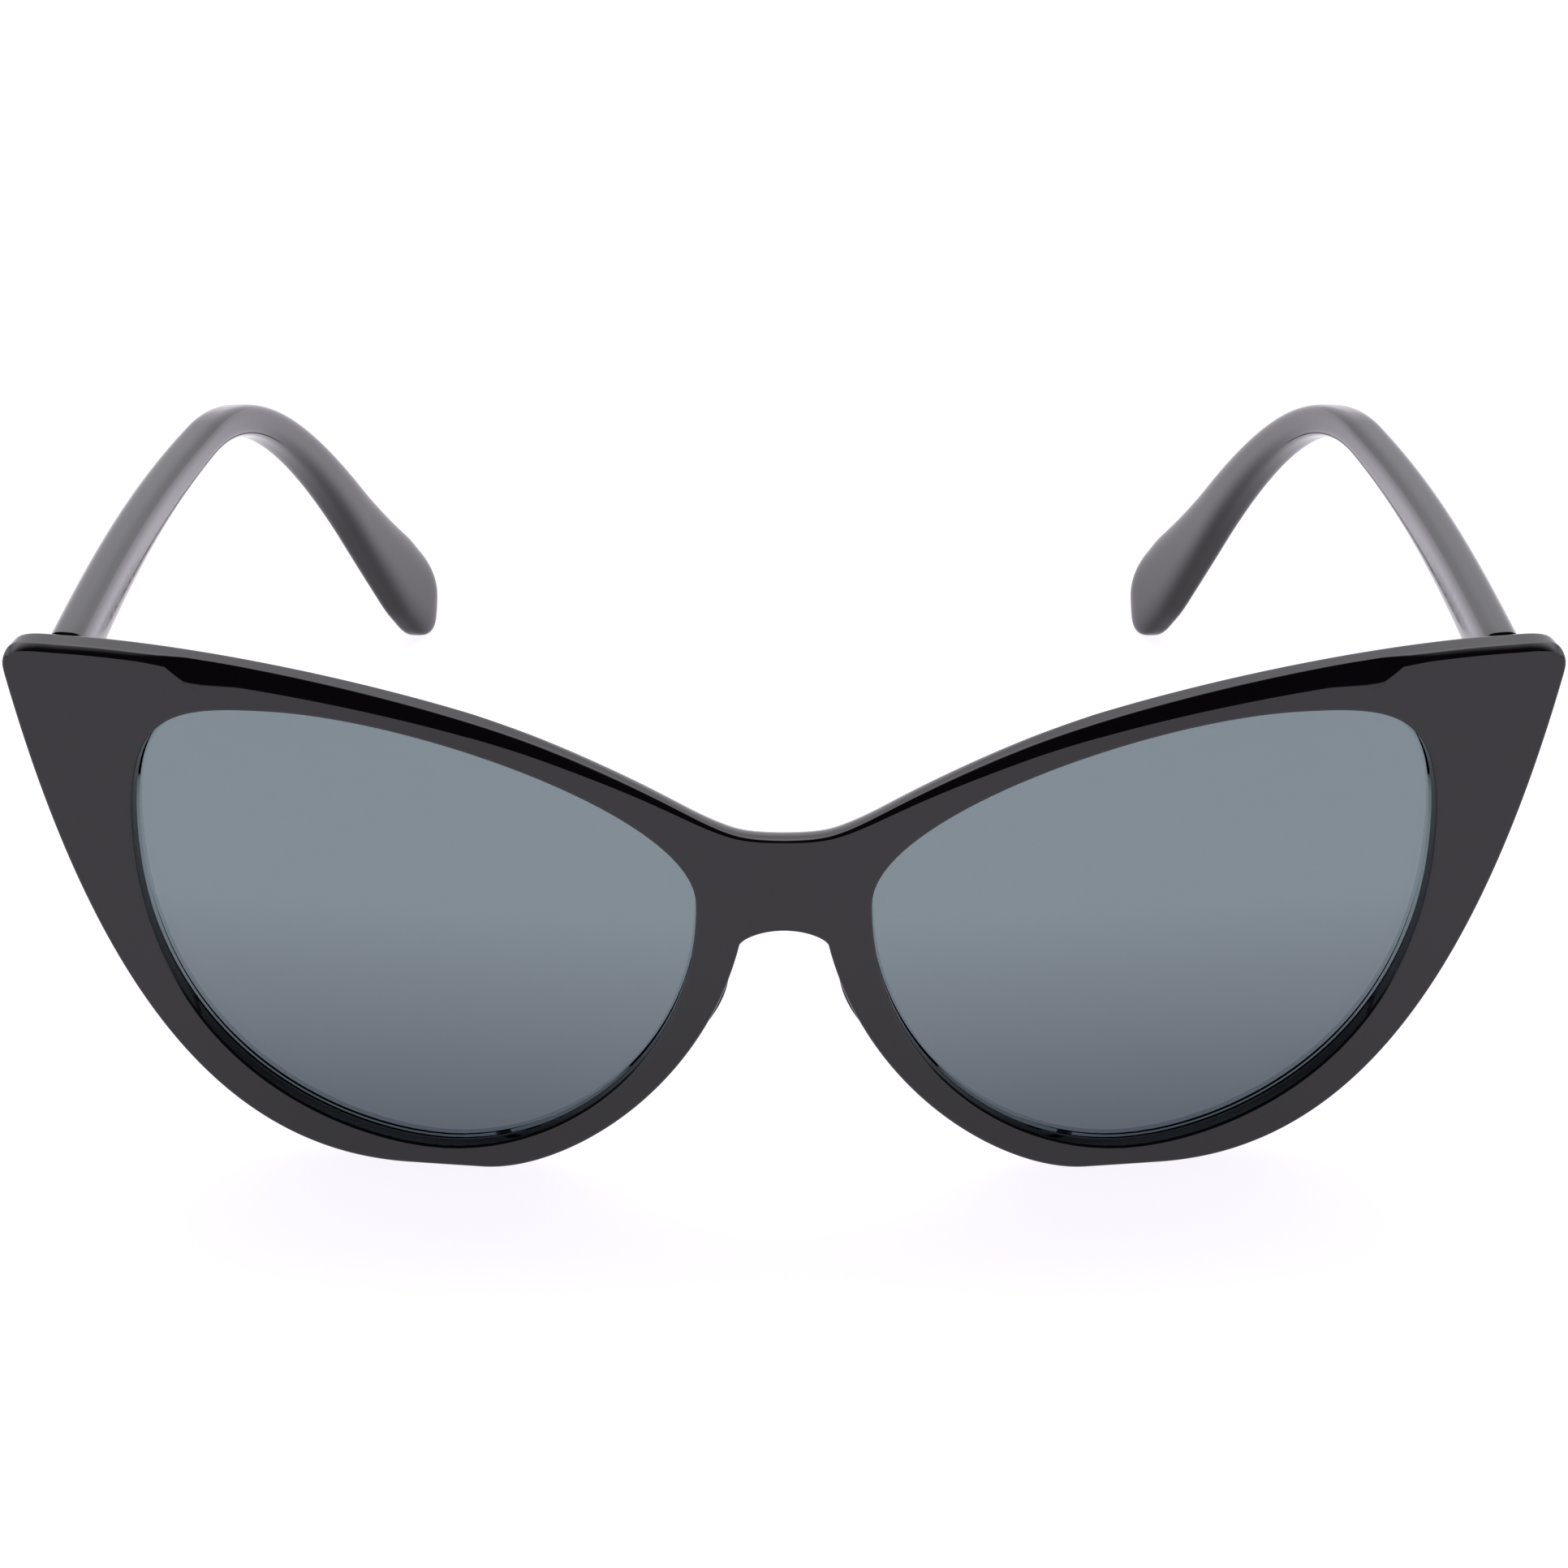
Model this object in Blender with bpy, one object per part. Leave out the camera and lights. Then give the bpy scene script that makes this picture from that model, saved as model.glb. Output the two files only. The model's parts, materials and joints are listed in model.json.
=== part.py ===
"""Cat eye sunglasses: a one-piece acetate front, two tinted lenses snapped into it, and
two temples that fold on three-barrel hinges. Right and left are the wearer's.

+X points to the wearer's left, +Y from the front towards the ears, +Z up. The open
sunglasses stand on their rims and temple tips, and the origin is under their middle.
All dimensions are in millimetres; MM turns them into the scene's metres.
"""

from math import asin, atan, atan2, cos, pi, radians, sin, tan

import bmesh
import bpy
import numpy as np
from mathutils import Matrix, Vector
from mathutils.geometry import interpolate_bezier

MM = 0.001
FIT_GAP = 0.3          # between a large piece and its neighbour
SMALL_GAP = 0.15       # between the small pieces of a hinge

# Front: the sheet it is cut from
THICKNESS = 3.8
BRIDGE_FLAT = 3.5      # half width of the flat middle of the bridge
BRIDGE_CREASE = 3.0    # the sweep begins over this distance
SWEEP = radians(5)     # each eye's plane sweeps back from the bridge
WRAP_RADIUS = 700.0    # and bends round the face

# Front: outline of one half, as (distance from the middle, height)
BRIDGE_TOP = 37.3
BRIDGE_UNDER = 27.6
NASAL = Vector((4.3, 26.0))
BROW = Vector((22.8, 45.6))
BROW_DIRECTION = Vector((1.0, 0.376)).normalized()
WING = Vector((70.4, 53.6))
CORNER = Vector((75.1, 50.3))
FOOT_INNER = 30.0      # flat stretch that each rim stands on
FOOT_OUTER = 37.5

# Front: the brow's bevelled band, which starts at the wing and fades at the bridge
EDGE = 0.35            # every other edge is eased by this much
BAND_PLACES = (6.0, 13.0, 20.0, 52.0, 55.5, 57.2, 59.0, 60.5)
BAND_WIDTHS = (0.3, 0.35, 0.6, 1.6, 2.1, 2.1, 0.8, 0.45)
BAND_DEPTHS = (0.5, 1.2, 1.6, 1.4, 1.3, 1.3, 1.5, 1.6)

# Lens: its centre, and the opening's four extreme points
LENS_CENTRE = Vector((36.0, 30.0))
OPENING_NASAL = Vector((8.5, 30.3))
OPENING_TOP = Vector((49.1, 48.3))
OPENING_TEMPORAL = Vector((63.4, 34.8))
OPENING_BOTTOM = Vector((34.0, 2.2))
LENS_FRONT = 1.9       # depth behind the front's face
LENS_THICKNESS = 1.3
LENS_BEVEL = 0.7       # how far its edge reaches into the groove
GROOVE_DEPTH = 1.3
GROOVE_MARGIN = 0.2    # the groove is wider than the lens by this much on each face

# Temple: path of its middle line
TEMPLE_LENGTH = 151.6
TEMPLE_OUT = 69.3      # from the middle of the front, at the hinge
TEMPLE_HEIGHT = 50.65
TEMPLE_SLOPE = radians(3.57)
STRAIGHT_LENGTH = 75.0
BEND_RADIUS = 60.0
TIP_SLOPE = radians(56.2)
BOW = 22.8             # how far inwards the ends lean
BOW_POWER = 2.8

# Temple: section
TEMPLE_THICKNESS = 3.95
HINGE_SECTION = 5.9
BEND_SECTION = 3.65
TIP_SECTION = 12.3
WIDENING_POWER = 3.25
TIP_ROUNDING = 5.0
SQUARENESS = 3.5       # exponent of the section's rounded rectangle
SECTION_POINTS = 12

# Core wire, in a channel that opens into the hinge leaf's slot
WIRE_RADIUS = 0.45
CHANNEL_RADIUS = 0.8
WIRE_POINTS = 8
WIRE_START = 16.0      # from the temple's hinge end
WIRE_END = 18.0        # from the temple's tip
CHANNEL_START = 13.5
CHANNEL_END = 16.0

# Hinge
AXIS_OUT = 65.4
AXIS_HEIGHT = 49.2
AXIS_STANDOFF = 2.0    # from the back of the front
BARREL_RADIUS = 1.4
BORE_RADIUS = 0.7
PIN_RADIUS = 0.6
ROUND_POINTS = 24
STACK_HALF_HEIGHT = 1.9     # the three barrels together
KNUCKLE_HALF_HEIGHT = 0.75  # the temple's barrel, in the middle
KNUCKLE_GAP = 0.12
FRONT_LEAF_LENGTH = 6.4
FRONT_LEAF_SUNK = 0.6
FRONT_LEAF_PROUD = 0.35
TEMPLE_LEAF_INNER = 3.4     # faces of its plate, from the axis outwards
TEMPLE_LEAF_OUTER = 4.3
TEMPLE_LEAF_END = 12.6
TEMPLE_LEAF_HALF_HEIGHT = 1.1
WEB_FRONT = -0.66           # the web from the barrel to the plate, from the axis backwards
HEAD_RADIUS = 1.2
HEAD_HEIGHT = 0.5
SLOT_WIDTH = 0.35
SLOT_DEPTH = 0.25
NUT_RADIUS = 1.25
NUT_HEIGHT = 0.7

# Leaf screws, which hold the front's leaf
LEAF_SCREW_PLACES = (2.7, 5.2)   # from the axis, inwards along the leaf
LEAF_SCREW_RADIUS = 0.4
LEAF_SCREW_HOLE = 0.6
LEAF_SCREW_HEAD = 0.7
LEAF_SCREW_HEAD_HEIGHT = 0.3
LEAF_SCREW_DEPTH = 1.5

# Nose pad
PAD_CENTRE = Vector((8.2, 18.6))
PAD_TILT = radians(24)
PAD_HALF_LENGTH = 5.0
PAD_HALF_WIDTH = 1.8
PAD_HEIGHT = 3.2
PAD_POINTS = 20

SIDES = {"right": -1, "left": 1}


# Shared helpers

def material(name, colour, roughness, metallic=0.0):
    """A Principled material."""
    result = bpy.data.materials.new(name)
    result.use_nodes = True
    shader = result.node_tree.nodes["Principled BSDF"]
    shader.inputs["Base Color"].default_value = (*colour, 1.0)
    shader.inputs["Roughness"].default_value = roughness
    shader.inputs["Metallic"].default_value = metallic
    result.diffuse_color = (*colour, 1.0)
    return result


def add_object(name, bm, surface, parent):
    """Turns a bmesh in millimetres into an object under its parent."""
    origin = Vector((0, 0, 0))
    if parent.parent:
        origin = parent.location / MM
    bm.transform(Matrix.Scale(MM, 4) @ Matrix.Translation(-origin))
    bmesh.ops.recalc_face_normals(bm, faces=bm.faces)
    mesh = bpy.data.meshes.new(name)
    bm.to_mesh(mesh)
    bm.free()
    mesh.shade_smooth()
    mesh.set_sharp_from_angle(angle=radians(35))
    if surface:
        mesh.materials.append(surface)
    result = bpy.data.objects.new(name, mesh)
    bpy.context.collection.objects.link(result)
    result.parent = parent
    return result


def add_empty(name, location, parent=None):
    """An empty that other objects hang from."""
    result = bpy.data.objects.new(name, None)
    result.empty_display_size = 5 * MM
    result.location = location
    result.parent = parent
    bpy.context.collection.objects.link(result)
    return result


def cut(target, name, bm):
    """Cuts the bmesh's solids out of the target."""
    tool = add_object(name, bm, None, target.parent)
    tool.hide_render = True
    tool.display_type = "WIRE"
    boolean = target.modifiers.new(name, "BOOLEAN")
    boolean.object = tool
    boolean.operation = "DIFFERENCE"
    boolean.solver = "EXACT"


def add_rings(bm, rings, first_cap=True, last_cap=True):
    """Skins closed rings of points and returns their vertices."""
    loops = [[bm.verts.new(point) for point in ring] for ring in rings]
    count = len(loops[0])
    for near, far in zip(loops, loops[1:]):
        for i in range(count):
            j = (i + 1) % count
            bm.faces.new((near[i], near[j], far[j], far[i]))
    if first_cap:
        bm.faces.new(loops[0][::-1])
    if last_cap:
        bm.faces.new(loops[-1])
    return loops


def add_prism(bm, profile, bottom, top, place):
    """A flat outline raised from bottom to top along the hinge's axis."""
    rings = [[place @ Vector((*point, height)) for point in profile] for height in (bottom, top)]
    add_rings(bm, rings)


def box_profile(low, high):
    """A rectangle's corners."""
    return [(low[0], low[1]), (high[0], low[1]), (high[0], high[1]), (low[0], high[1])]


def arc(radius, start, end, steps):
    """Points of an arc about the origin, with both ends."""
    angles = [start + (end - start) * i / steps for i in range(steps + 1)]
    return [(radius * cos(angle), radius * sin(angle)) for angle in angles]


def add_rod(bm, start, end, radius, place):
    """A round rod between two points."""
    start, end = Vector(start), Vector(end)
    turn = (end - start).to_track_quat("Z", "Y")
    circle = arc(radius, 0, 2 * pi, ROUND_POINTS)[:-1]
    rings = [[place @ (centre + turn @ Vector((*p, 0))) for p in circle] for centre in (start, end)]
    add_rings(bm, rings)


# Front outline and lens opening

def sheet(x):
    """How far back the front's face lies at a distance from the middle."""
    across = (abs(x) - BRIDGE_FLAT) / BRIDGE_CREASE
    entry = min(max(across, 0), 1)
    swept = BRIDGE_CREASE * (entry ** 3 - entry ** 4 / 2 + max(across - 1, 0))
    wrapped = max(abs(x) - BRIDGE_FLAT, 0)
    return tan(SWEEP) * swept + wrapped ** 2 / (2 * WRAP_RADIUS)


def sheet_slope(x):
    """Angle at which the face sweeps back at a distance from the middle."""
    entry = min(max((abs(x) - BRIDGE_FLAT) / BRIDGE_CREASE, 0), 1)
    wrapped = max(abs(x) - BRIDGE_FLAT, 0)
    return atan(tan(SWEEP) * entry ** 2 * (3 - 2 * entry) + wrapped / WRAP_RADIUS)


def sheet_back(x):
    """How far back the front's back face lies."""
    return sheet(x) + THICKNESS / cos(sheet_slope(x))


def on_sheet(side, x, depth, z):
    """A point at a depth behind the front's face, square to it."""
    slope = sheet_slope(x)
    return Vector((side * (x - depth * sin(slope)), sheet(x) + depth * cos(slope), z))


def curve(start, start_handle, end_handle, end, steps):
    """Points of one curved stretch, its end left out."""
    return interpolate_bezier(start, start_handle, end_handle, end, steps + 1)[:-1]


def front_outline():
    """One half's outline: from the bridge's top, round the eye, and up the middle."""
    top, under = Vector((0, BRIDGE_TOP)), Vector((0, BRIDGE_UNDER))
    foot_outer, foot_inner = Vector((FOOT_OUTER, 0)), Vector((FOOT_INNER, 0))
    side, rise = Vector((-0.2, -1.0)).normalized(), Vector((-0.24, 1.0)).normalized()
    points = curve(top, Vector((7.8, BRIDGE_TOP)), BROW - 17.2 * BROW_DIRECTION, BROW, 9)
    points += curve(BROW, BROW + 10.8 * BROW_DIRECTION, WING - Vector((16.9, -0.15)), WING, 15)
    points += curve(WING, WING + Vector((4.0, 0.1)), CORNER - 3.2 * side, CORNER, 4)
    points += curve(CORNER, CORNER + 42.0 * side, Vector((51.5, 0)), foot_outer, 18)
    points += [foot_outer]
    points += curve(foot_inner, Vector((22.0, 0)), NASAL - 17.0 * rise, NASAL, 14)
    points += curve(NASAL, NASAL + 0.6 * rise, Vector((2.4, BRIDGE_UNDER)), under, 4)
    points += [under.lerp(top, i / 4) for i in range(4)]
    return points


def opening_outline():
    """The lens opening's edge, densely."""
    nasal, top, side, low = OPENING_NASAL, OPENING_TOP, OPENING_TEMPORAL, OPENING_BOTTOM
    points = curve(nasal, nasal + Vector((0, 9.0)), top - Vector((15.0, 0)), top, 40)
    points += curve(top, top + Vector((9.5, 0)), side + Vector((0, 12.6)), side, 40)
    points += curve(side, side - Vector((0, 25.1)), low + Vector((10.0, 0)), low, 40)
    points += curve(low, low - Vector((12.0, 0)), nasal - Vector((0, 17.2)), nasal, 40)
    return points


def opening_edge():
    """A function from a direction about the lens's centre to the opening's radius."""
    arms = [point - LENS_CENTRE for point in opening_outline()]
    angles = np.array([atan2(arm.y, arm.x) for arm in arms])
    radii = np.array([arm.length for arm in arms])
    order = np.argsort(angles)

    def radius(angle):
        return float(np.interp(angle, angles[order], radii[order], period=2 * pi))

    return radius


def edge_ease(point, outward):
    """Width and depth of the eased front edge: a wide band along the brow."""
    share = min(max(2 * outward.y, 0), 1)
    width = float(np.interp(point.x, BAND_PLACES, BAND_WIDTHS))
    depth = float(np.interp(point.x, BAND_PLACES, BAND_DEPTHS))
    return EDGE + share * (width - EDGE), EDGE + share * (depth - EDGE)


def stations():
    """Pairs of an outline point and the opening's point on the same ray from the lens."""
    radius = opening_edge()
    pairs = []
    for point in front_outline():
        arm = point - LENS_CENTRE
        ray = arm.normalized()
        pairs.append((point, ray, radius(atan2(arm.y, arm.x))))
    return pairs


def front_section(index, pairs, side):
    """The section's points at one station, from the opening's front edge round it."""
    point, ray, radius = pairs[index]
    ahead, behind = pairs[(index + 1) % len(pairs)][0], pairs[index - 1][0]
    along = (ahead - behind).normalized()
    outward = Vector((-along.y, along.x))
    width, depth = edge_ease(point, outward)
    inner = LENS_CENTRE + radius * ray
    groove = LENS_CENTRE + (radius + GROOVE_DEPTH) * ray
    eased = point - width * outward
    if point.x == 0:
        middle = {BRIDGE_TOP: -width, BRIDGE_UNDER: width}.get(round(point.y, 3), 0)
        eased = point + Vector((0, middle))
        depth = depth if middle else 0
    groove_front = LENS_FRONT - GROOVE_MARGIN
    groove_back = LENS_FRONT + LENS_THICKNESS + GROOVE_MARGIN
    return [
        on_sheet(side, inner.x, 0, inner.y),
        on_sheet(side, eased.x, 0, eased.y),
        on_sheet(side, point.x, depth, point.y),
        on_sheet(side, point.x, THICKNESS, point.y),
        on_sheet(side, inner.x, THICKNESS, inner.y),
        on_sheet(side, inner.x, groove_back, inner.y),
        on_sheet(side, groove.x, (groove_front + groove_back) / 2, groove.y),
        on_sheet(side, inner.x, groove_front, inner.y),
    ]


def add_front_half(bm, side):
    """One eye's half of the front, left open where it meets the other half."""
    pairs = stations()
    loops = []
    for index in range(len(pairs)):
        loops.append([bm.verts.new(point) for point in front_section(index, pairs, side)])
    for index, loop in enumerate(loops):
        following = (index + 1) % len(loops)
        on_middle = pairs[index][0].x == 0 and pairs[following][0].x == 0
        other = loops[following]
        for i in range(len(loop)):
            if on_middle and i in (1, 2):
                continue
            j = (i + 1) % len(loop)
            bm.faces.new((loop[i], loop[j], other[j], other[i]))


def build_front(surface, root):
    """The front, with milled seats and screw holes for its hinge leaves."""
    bm = bmesh.new()
    for side in SIDES.values():
        add_front_half(bm, side)
    bmesh.ops.remove_doubles(bm, verts=bm.verts, dist=0.001)
    bmesh.ops.dissolve_degenerate(bm, edges=bm.edges, dist=0.001)
    front = add_object("front_frame", bm, surface, root)
    seats, holes = bmesh.new(), bmesh.new()
    floor = -AXIS_STANDOFF - FRONT_LEAF_SUNK - SMALL_GAP
    half = STACK_HALF_HEIGHT + SMALL_GAP
    seat_end = BARREL_RADIUS + SMALL_GAP
    seat = box_profile((-FRONT_LEAF_LENGTH - SMALL_GAP, floor), (seat_end, floor + 2))
    for side in SIDES.values():
        place = hinge_place(side, leaf_tilt())
        add_prism(seats, seat, -half, half, place)
        for distance in LEAF_SCREW_PLACES:
            bottom = floor - LEAF_SCREW_DEPTH - SMALL_GAP
            add_rod(holes, (-distance, bottom, 0), (-distance, floor + 1, 0), LEAF_SCREW_HOLE, place)
    cut(front, "leaf_seat_cutter", seats)
    cut(front, "leaf_screw_hole_cutter", holes)
    return front


def build_lens(name, side, surface, root):
    """A lens whose bevelled edge stands in the front's groove."""
    pairs = stations()
    front, back = LENS_FRONT, LENS_FRONT + LENS_THICKNESS
    rings = []
    layout = [(1 / 3, front, 0), (2 / 3, front, 0), (1, front, -FIT_GAP)]
    layout += [(1, (front + back) / 2, LENS_BEVEL)]
    layout += [(1, back, -FIT_GAP), (2 / 3, back, 0), (1 / 3, back, 0)]
    for share, depth, offset in layout:
        flat = [LENS_CENTRE + (share * radius + offset) * ray for _, ray, radius in pairs]
        rings.append([on_sheet(side, p.x, depth, p.y) for p in flat])
    bm = bmesh.new()
    loops = add_rings(bm, rings, first_cap=False, last_cap=False)
    for loop, depth in ((loops[0], front), (loops[-1], back)):
        centre = bm.verts.new(on_sheet(side, LENS_CENTRE.x, depth, LENS_CENTRE.y))
        for i, vertex in enumerate(loop):
            bm.faces.new((vertex, loop[(i + 1) % len(loop)], centre))
    add_object(name, bm, surface, root)


def build_nose_pad(name, side, surface, root):
    """A domed pad glued to the back of the rim, beside the nose."""
    along = Vector((-sin(PAD_TILT), cos(PAD_TILT)))
    across = Vector((along.y, -along.x))
    base = THICKNESS + FIT_GAP
    rings = []
    for share, lift in ((1, 0), (1, 0.35), (0.85, 0.7), (0.5, 1)):
        ring = []
        for angle in np.linspace(0, 2 * pi, PAD_POINTS, endpoint=False):
            flat = PAD_CENTRE + share * PAD_HALF_LENGTH * sin(angle) * along
            flat += share * PAD_HALF_WIDTH * cos(angle) * across
            ring.append(on_sheet(side, flat.x, base + lift * PAD_HEIGHT, flat.y))
        rings.append(ring)
    bm = bmesh.new()
    add_rings(bm, rings)
    add_object(name, bm, surface, root)


# Temples

def temple_frame(s):
    """Middle point and side-view slope of a temple at a length from its hinge end."""
    bend_length = BEND_RADIUS * (TIP_SLOPE - TEMPLE_SLOPE)
    straight = min(s, STRAIGHT_LENGTH)
    y = straight * cos(TEMPLE_SLOPE)
    z = TEMPLE_HEIGHT - straight * sin(TEMPLE_SLOPE)
    bent = min(max(s - STRAIGHT_LENGTH, 0), bend_length)
    slope = TEMPLE_SLOPE + bent / BEND_RADIUS
    y += BEND_RADIUS * (sin(slope) - sin(TEMPLE_SLOPE))
    z -= BEND_RADIUS * (cos(TEMPLE_SLOPE) - cos(slope))
    tip = max(s - STRAIGHT_LENGTH - bend_length, 0)
    y += tip * cos(TIP_SLOPE)
    z -= tip * sin(TIP_SLOPE)
    x = TEMPLE_OUT - BOW * (s / TEMPLE_LENGTH) ** BOW_POWER
    return Vector((x, sheet_back(TEMPLE_OUT) + FIT_GAP + y, z)), slope


def temple_section(s):
    """Height and thickness of a temple at a length from its hinge end."""
    height = np.interp(s, (0, STRAIGHT_LENGTH), (HINGE_SECTION, BEND_SECTION))
    widening = (s - STRAIGHT_LENGTH) / (TEMPLE_LENGTH - 8 - STRAIGHT_LENGTH)
    height += (TIP_SECTION - BEND_SECTION) * min(max(widening, 0), 1) ** WIDENING_POWER
    into_tip = max(s - (TEMPLE_LENGTH - TIP_ROUNDING), 0) / TIP_ROUNDING
    height *= max(1 - into_tip ** 2.5, 0.02) ** 0.4
    thickness = TEMPLE_THICKNESS * max(1 - into_tip ** 6, 0.02) ** 0.3
    return height, thickness


def temple_stations(start, end):
    """Lengths along the temple where its skin and its wire have rings."""
    bend_end = STRAIGHT_LENGTH + BEND_RADIUS * (TIP_SLOPE - TEMPLE_SLOPE)
    lengths = [0, CHANNEL_START, WIRE_START]
    lengths += list(np.linspace(WIRE_START, STRAIGHT_LENGTH, 6)[1:])
    lengths += list(np.linspace(STRAIGHT_LENGTH, bend_end, 6)[1:])
    lengths += [TEMPLE_LENGTH - WIRE_END, TEMPLE_LENGTH - CHANNEL_END, TEMPLE_LENGTH - 8]
    lengths += [TEMPLE_LENGTH - TIP_ROUNDING * share for share in (1, 0.6, 0.3, 0.1, 0)]
    return [s for s in lengths if start <= s <= end]


def rounded_rectangle(height, width, points):
    """Points of a section between an ellipse and a rectangle."""
    result = []
    for angle in np.linspace(0, 2 * pi, points, endpoint=False) + pi / points:
        c, s = cos(angle), sin(angle)
        across = width / 2 * np.sign(c) * abs(c) ** (2 / SQUARENESS)
        up = height / 2 * np.sign(s) * abs(s) ** (2 / SQUARENESS)
        result.append((across, up))
    return result


def temple_ring(s, side, profile):
    """A section placed on the temple's path, its first ring flush behind the front."""
    middle, slope = temple_frame(s)
    ring = []
    for across, up in profile:
        x = middle.x + across
        y = middle.y + up * sin(slope)
        if s == 0:
            y = sheet_back(x) + FIT_GAP
        ring.append(Vector((side * x, y, middle.z + up * cos(slope))))
    return ring


def add_tube(bm, side, radius, start, end):
    """A round tube along the temple's middle line."""
    turn = pi / WIRE_POINTS
    circle = arc(radius, turn, 2 * pi + turn, WIRE_POINTS)[:-1]
    rings = []
    for s in temple_stations(start, end):
        rings.append(temple_ring(s, side, circle))
    add_rings(bm, rings)


def build_temple(name, side, surface, parent):
    """A temple with the slot of its hinge leaf and the channel of its core wire."""
    bm = bmesh.new()
    skin = []
    for s in temple_stations(0, TEMPLE_LENGTH):
        skin.append(temple_ring(s, side, rounded_rectangle(*temple_section(s), SECTION_POINTS)))
    add_rings(bm, skin)
    temple = add_object(name, bm, surface, parent)
    place = hinge_place(side)
    slot, notch, channel = bmesh.new(), bmesh.new(), bmesh.new()
    low, high = TEMPLE_LEAF_INNER - FIT_GAP, TEMPLE_LEAF_OUTER + FIT_GAP
    half = TEMPLE_LEAF_HALF_HEIGHT + FIT_GAP
    add_prism(slot, box_profile((low, -4), (high, TEMPLE_LEAF_END + FIT_GAP)), -half, half, place)
    half = KNUCKLE_HALF_HEIGHT + FIT_GAP
    add_prism(notch, box_profile((0, -5), (high - 0.4, BARREL_RADIUS + FIT_GAP)), -half, half, place)
    add_tube(channel, side, CHANNEL_RADIUS, CHANNEL_START, TEMPLE_LENGTH - CHANNEL_END)
    cut(temple, name + "_slot_cutter", slot)
    cut(temple, name + "_notch_cutter", notch)
    cut(temple, name + "_channel_cutter", channel)
    return temple


def build_wire(name, side, surface, parent):
    """The temple's core wire."""
    bm = bmesh.new()
    add_tube(bm, side, WIRE_RADIUS, WIRE_START, TEMPLE_LENGTH - WIRE_END)
    add_object(name, bm, surface, parent)


# Hinges

def leaf_tilt():
    """Angle of the front's back face at the hinge."""
    return sheet_slope(AXIS_OUT)


def axis_point(side):
    """Middle of a hinge's axis."""
    back = sheet_back(AXIS_OUT) + AXIS_STANDOFF / cos(leaf_tilt())
    return Vector((side * AXIS_OUT, back, AXIS_HEIGHT))


def hinge_place(side, tilt=0.0):
    """From the hinge's own axes (outwards, backwards, up) to the sunglasses' axes."""
    mirror = Matrix.Diagonal((side, 1, 1, 1))
    return Matrix.Translation(axis_point(side)) @ mirror @ Matrix.Rotation(tilt, 4, "Z")


def build_front_leaf(name, side, surface, root):
    """The plate with two barrels that is screwed to the front."""
    place = hinge_place(side, leaf_tilt())
    front = -AXIS_STANDOFF - FRONT_LEAF_SUNK
    back = -AXIS_STANDOFF + FRONT_LEAF_PROUD
    profile = [(-FRONT_LEAF_LENGTH, front), (BARREL_RADIUS, front)]
    profile += arc(BARREL_RADIUS, 0, pi, ROUND_POINTS // 2)
    profile += [(-BARREL_RADIUS, back), (-FRONT_LEAF_LENGTH, back)]
    bm = bmesh.new()
    add_prism(bm, profile, -STACK_HALF_HEIGHT, STACK_HALF_HEIGHT, place)
    leaf = add_object(name, bm, surface, root)
    notch, holes = bmesh.new(), bmesh.new()
    reach = BARREL_RADIUS + SMALL_GAP
    gap_half = KNUCKLE_HALF_HEIGHT + KNUCKLE_GAP
    add_prism(notch, box_profile((-2 * reach, -reach), (2 * reach, 2 * reach)), -gap_half, gap_half, place)
    add_rod(holes, (0, 0, -4), (0, 0, 4), BORE_RADIUS, place)
    for distance in LEAF_SCREW_PLACES:
        add_rod(holes, (-distance, front - 1, 0), (-distance, back + 1, 0), LEAF_SCREW_HOLE, place)
    cut(leaf, name + "_notch_cutter", notch)
    cut(leaf, name + "_hole_cutter", holes)


def build_temple_leaf(name, side, surface, parent):
    """The middle barrel and its plate, which is sunk in the temple."""
    place = hinge_place(side)
    inner, outer = TEMPLE_LEAF_INNER, TEMPLE_LEAF_OUTER
    web_angle = asin(WEB_FRONT / BARREL_RADIUS)
    profile = [(outer, WEB_FRONT), (outer, TEMPLE_LEAF_END), (inner, TEMPLE_LEAF_END)]
    profile += [(inner, BARREL_RADIUS)]
    profile += arc(BARREL_RADIUS, pi / 2, 2 * pi + web_angle, 2 * ROUND_POINTS // 3)
    bm = bmesh.new()
    add_prism(bm, profile, -TEMPLE_LEAF_HALF_HEIGHT, TEMPLE_LEAF_HALF_HEIGHT, place)
    leaf = add_object(name, bm, surface, parent)
    notches, bore = bmesh.new(), bmesh.new()
    clear = box_profile((-3, -3), (inner, 2 * BARREL_RADIUS))
    add_prism(notches, clear, KNUCKLE_HALF_HEIGHT, 4, place)
    add_prism(notches, clear, -4, -KNUCKLE_HALF_HEIGHT, place)
    add_rod(bore, (0, 0, -3), (0, 0, 3), BORE_RADIUS, place)
    cut(leaf, name + "_notch_cutter", notches)
    cut(leaf, name + "_bore_cutter", bore)


def build_screw(name, side, surface, root):
    """The hinge's pin, with a slotted head above the upper barrel."""
    place = hinge_place(side)
    foot = -STACK_HALF_HEIGHT - SMALL_GAP - NUT_HEIGHT
    head = STACK_HALF_HEIGHT + SMALL_GAP
    top = head + HEAD_HEIGHT
    rings = []
    steps = ((PIN_RADIUS, foot), (PIN_RADIUS, head), (HEAD_RADIUS, head), (HEAD_RADIUS, top))
    for radius, height in steps:
        circle = arc(radius, 0, 2 * pi, ROUND_POINTS)[:-1]
        rings.append([place @ Vector((*point, height)) for point in circle])
    bm = bmesh.new()
    add_rings(bm, rings)
    screw = add_object(name, bm, surface, root)
    slot = bmesh.new()
    half = SLOT_WIDTH / 2
    add_prism(slot, box_profile((-2, -half), (2, half)), top - SLOT_DEPTH, top + 1, place)
    cut(screw, name + "_slot_cutter", slot)


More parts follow.
